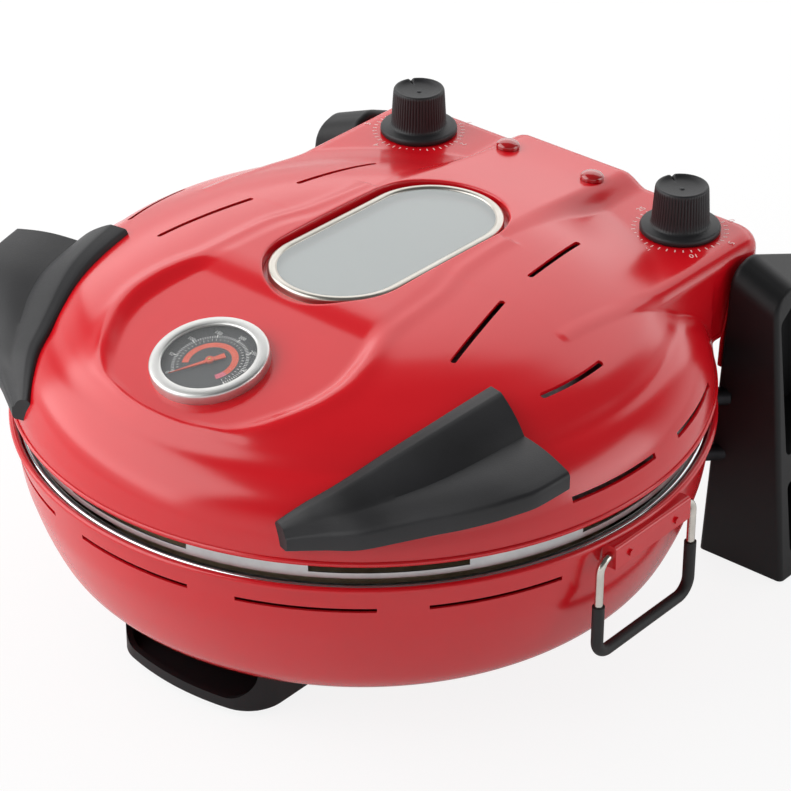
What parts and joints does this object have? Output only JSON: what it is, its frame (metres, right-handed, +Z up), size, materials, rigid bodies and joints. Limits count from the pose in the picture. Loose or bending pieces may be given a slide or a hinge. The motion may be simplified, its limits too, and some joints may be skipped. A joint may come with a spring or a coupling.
{
  "type": "electric pizza maker",
  "caption": "Round countertop pizza oven with a domed hinged lid, oval window, lid thermometer, knobs, wing handles, rear stands and side bails.",
  "frame": {"origin": "on the floor, midway along the length and width of the whole object", "axes": "+Z up, -Y towards the front where the thermometer is, +X to the right seen from the front"},
  "size_m": [0.3844, 0.4086, 0.2081],
  "materials": {
    "red_lacquer": "glossy red lacquer",
    "black_plastic": "fine-grained moulded plastic",
    "black_sleeve": "heat-proof sleeve",
    "bright_steel": "finely brushed",
    "zinc": "bright zinc plated",
    "chrome": "polished",
    "reflector_sheet": "aluminised sheet, satin",
    "heater_sheath": "dull oxidised tube",
    "stone": "cordierite, matte",
    "glass": "clear tempered",
    "dial_print": "matte dial with white scale",
    "needle_paint": "orange-red paint",
    "lamp_lens": "translucent red",
    "dark_plastic": "phenolic moulding",
    "pad_rubber": "soft pads",
    "brass": "turned"
  },
  "bodies": {
    "base": {"base_shell": "red_lacquer", "base_pan": "chrome", "heat_shield": "reflector_sheet", "pan_standoffs": "zinc", "standoff_screws": "zinc", "lower_heater": "heater_sheath", "lower_heater_clips": "zinc", "stone_supports": "zinc", "pizza_stone": "stone", "front_foot": "black_plastic", "rear_stand_left": "black_plastic", "rear_stand_right": "black_plastic", "stand_pads": "pad_rubber", "front_pads": "pad_rubber", "foot_screws": "zinc", "stand_spacers": "zinc", "stand_bolts": "zinc", "hinge_pins": "bright_steel", "hinge_plate_left": "zinc", "hinge_plate_right": "zinc", "bail_bracket_left": "red_lacquer", "bail_bracket_right": "red_lacquer", "bracket_rivets": "zinc", "cord_gland": "dark_plastic"},
    "lid": {"lid_shell": "red_lacquer", "lid_reflector": "reflector_sheet", "reflector_posts": "zinc", "reflector_nuts": "zinc", "rear_cover": "zinc", "upper_heater": "heater_sheath", "upper_heater_clips": "zinc", "window_trim": "bright_steel", "window_glass": "glass", "window_seal": "pad_rubber", "window_clamp": "zinc", "window_screws": "zinc", "thermometer_case": "bright_steel", "thermometer_dial": "dial_print", "thermometer_lens": "glass", "thermometer_stem": "bright_steel", "thermometer_nut": "zinc", "lamp_left": "lamp_lens", "lamp_right": "lamp_lens", "lamp_holders": "dark_plastic", "thermostat_body": "dark_plastic", "timer_body": "dark_plastic", "hinge_bushes": "brass", "wing_handle_left": "black_plastic", "wing_handle_right": "black_plastic", "wing_screws": "zinc"},
    "needle": {"thermometer_needle": "needle_paint"},
    "thermostat_control": {"thermostat_knob": "black_plastic", "thermostat_shaft": "zinc"},
    "timer_control": {"timer_knob": "black_plastic", "timer_shaft": "zinc"},
    "left_bail": {"bail_left": "bright_steel", "bail_grip_left": "black_sleeve"},
    "right_bail": {"bail_right": "bright_steel", "bail_grip_right": "black_sleeve"}
  },
  "joints": [
    {"name": "lid_hinge", "type": "hinge", "parent": "base", "child": "lid", "pos_m": [0, 0.1405, 0.151], "axis": [-1, 0, 0], "range_deg": [0, 95]},
    {"name": "thermometer_needle_turn", "type": "hinge", "parent": "lid", "child": "needle", "pos_m": [0, -0.1325, 0.182], "axis": [0, 0.2198, -0.9755], "range_deg": [0, 270]},
    {"name": "thermostat_turn", "type": "hinge", "parent": "lid", "child": "thermostat_control", "pos_m": [-0.0912, 0.1351, 0.1815], "axis": [0, 0, -1], "range_deg": [0, 270]},
    {"name": "timer_turn", "type": "hinge", "parent": "lid", "child": "timer_control", "pos_m": [0.0912, 0.1351, 0.1815], "axis": [0, 0, -1], "range_deg": [0, 300]},
    {"name": "left_bail_swing", "type": "hinge", "parent": "base", "child": "left_bail", "pos_m": [-0.187, -0.0175, 0.107], "axis": [0, 1, 0], "range_deg": [-8, 100]},
    {"name": "right_bail_swing", "type": "hinge", "parent": "base", "child": "right_bail", "pos_m": [0.187, -0.0175, 0.107], "axis": [0, -1, 0], "range_deg": [-8, 100]}
  ]
}
